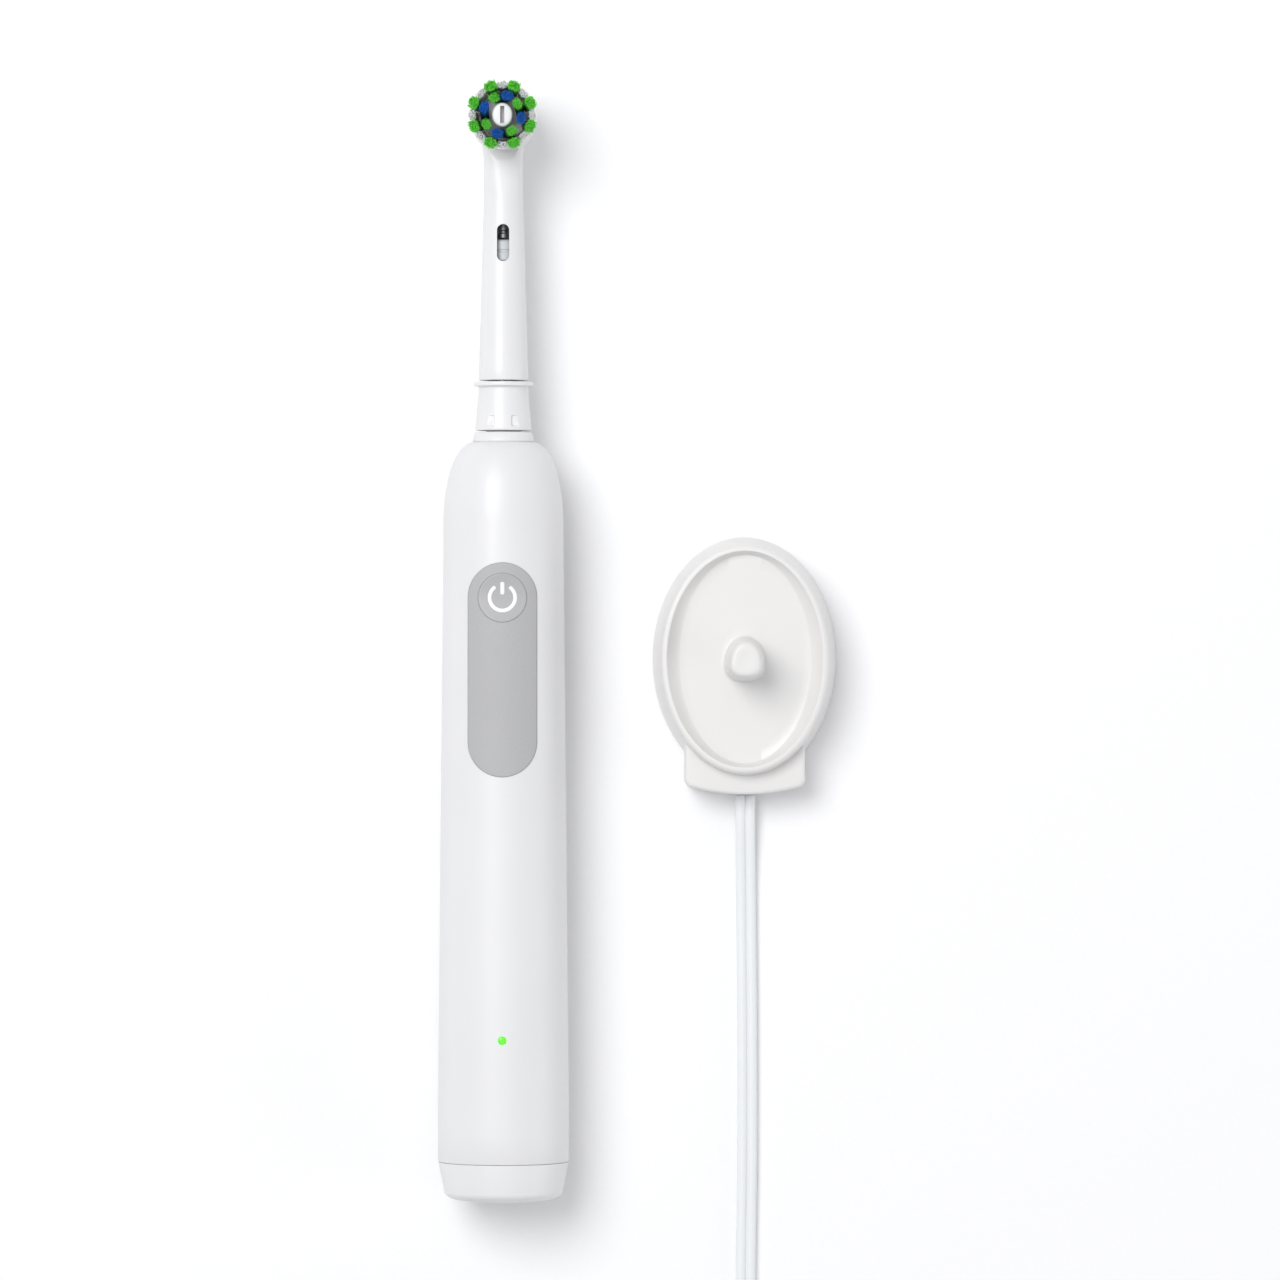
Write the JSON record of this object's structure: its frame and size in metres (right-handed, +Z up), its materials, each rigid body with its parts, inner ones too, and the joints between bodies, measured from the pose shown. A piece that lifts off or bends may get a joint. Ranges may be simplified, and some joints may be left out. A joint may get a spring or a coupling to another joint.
{
  "type": "electric toothbrush with charger",
  "caption": "Oscillating round-head electric toothbrush lying beside its oval inductive charger with a pin, a tray and a flat twin lead to a two-blade plug.",
  "frame": {"origin": "under the charger's pin axis, on the surface that both pieces stand on", "axes": "+Y from the handle's base to the brush head, +X from the brush to the charger, +Z up"},
  "size_m": [0.0997, 0.324, 0.0285],
  "materials": {
    "charger_plastic": "glossy warm white",
    "handle_plastic": "glossy white",
    "refill_plastic": "glossy white",
    "grip_rubber": "fine matt grain",
    "inner_plastic": "moulded",
    "seal_rubber": "matt",
    "black_plastic": "moulded",
    "steel": "ground",
    "brass": "plain",
    "copper": "enamelled winding",
    "ferrite": "sintered",
    "circuit_board": "solder mask",
    "battery_sleeve": "shrink sleeve",
    "status_light": "clear green light pipe",
    "green_bristle": "nylon filaments",
    "blue_bristle": "nylon filaments",
    "white_bristle": "nylon filaments",
    "cord_jacket": "flat twin lead, satin",
    "plug_plastic": "moulded"
  },
  "bodies": {
    "charger": {"charger_top_cover": "charger_plastic", "charger_base_plate": "charger_plastic", "ferrite_core": "ferrite", "coil_bobbin": "inner_plastic", "primary_coil": "copper", "charger_board": "circuit_board", "smoothing_capacitor": "black_plastic", "switching_transistor": "black_plastic", "cord_clamp": "inner_plastic", "clamp_screw": "steel", "cord_grommet": "charger_plastic", "cord_lead": "cord_jacket", "cord_coil": "cord_jacket", "cord_tie": "plug_plastic", "cord_tail": "cord_jacket", "plug_body": "plug_plastic", "plug_blade_left": "brass", "plug_blade_right": "brass"},
    "handle": {"handle_housing": "handle_plastic", "grip_panel": "grip_rubber", "status_light_lens": "status_light", "base_cap": "handle_plastic", "base_seal": "seal_rubber", "shaft_seal": "seal_rubber", "chassis": "inner_plastic", "motor_can": "steel", "motor_end_cap": "inner_plastic", "gear_axle": "steel", "front_bearing": "brass", "rear_bearing": "brass", "battery": "battery_sleeve", "battery_contact_front": "brass", "battery_contact_rear": "brass", "handle_board": "circuit_board", "tact_switch": "black_plastic", "status_led": "status_light", "controller_chip": "black_plastic", "charging_coil": "copper", "rear_damper": "seal_rubber"},
    "button": {"power_button": "handle_plastic"},
    "plunger": {"switch_plunger": "inner_plastic"},
    "motor_spindle": {"motor_rotor": "brass"},
    "crank": {"crank_gear": "inner_plastic"},
    "shaft": {"drive_shaft": "steel", "rocker_lever": "inner_plastic"},
    "refill": {"refill_tube": "refill_plastic", "id_ring": "refill_plastic", "disc_pivot": "steel"},
    "refill_drive": {"refill_coupling": "inner_plastic", "refill_rod": "steel"},
    "disc": {"brush_disc": "refill_plastic", "outer_green_tufts": "green_bristle", "outer_white_tufts": "white_bristle", "inner_green_tufts": "green_bristle", "inner_blue_tufts": "blue_bristle", "centre_cup": "white_bristle"}
  },
  "joints": [
    {"name": "handle_lift", "type": "slide", "parent": "charger", "child": "handle", "axis": [0, 0, 1], "range_m": [0, 0.12]},
    {"name": "power_button_press", "type": "slide", "parent": "handle", "child": "button", "axis": [0, 0, -1], "range_m": [0, 0.0006], "stiffness_N_per_m": 2500, "springref_m": -0.0003},
    {"name": "switch_plunger_press", "type": "slide", "parent": "handle", "child": "plunger", "axis": [0, 0, -1], "range_m": [0, 0.0006]},
    {"name": "motor_spin", "type": "hinge", "parent": "handle", "child": "motor_spindle", "pos_m": [-0.0506, 0, 0.0104], "axis": [0, 1, 0], "continuous": true},
    {"name": "crank_spin", "type": "hinge", "parent": "handle", "child": "crank", "pos_m": [-0.0506, 0.02, 0.0179], "axis": [0, 1, 0], "continuous": true},
    {"name": "shaft_swing", "type": "hinge", "parent": "handle", "child": "shaft", "pos_m": [-0.0506, 0.05, 0.0137], "axis": [0, 1, 0], "range_deg": [-22.5, 22.5]},
    {"name": "refill_pull", "type": "slide", "parent": "handle", "child": "refill", "axis": [0, 1, 0], "range_m": [0, 0.034]},
    {"name": "rod_swing", "type": "hinge", "parent": "refill", "child": "refill_drive", "pos_m": [-0.0506, 0.09, 0.0137], "axis": [0, 1, 0], "range_deg": [-22.5, 22.5]},
    {"name": "disc_swing", "type": "hinge", "parent": "refill", "child": "disc", "pos_m": [-0.0506, 0.1131, 0.0197], "axis": [0, 0, 1], "range_deg": [-22.5, 22.5]}
  ],
  "couplings": [
    {"joint": "switch_plunger_press", "follows": "power_button_press", "ratio": 1},
    {"joint": "crank_spin", "follows": "motor_spin", "ratio": -0.36364},
    {"joint": "rod_swing", "follows": "shaft_swing", "ratio": 1},
    {"joint": "disc_swing", "follows": "shaft_swing", "ratio": 1}
  ]
}
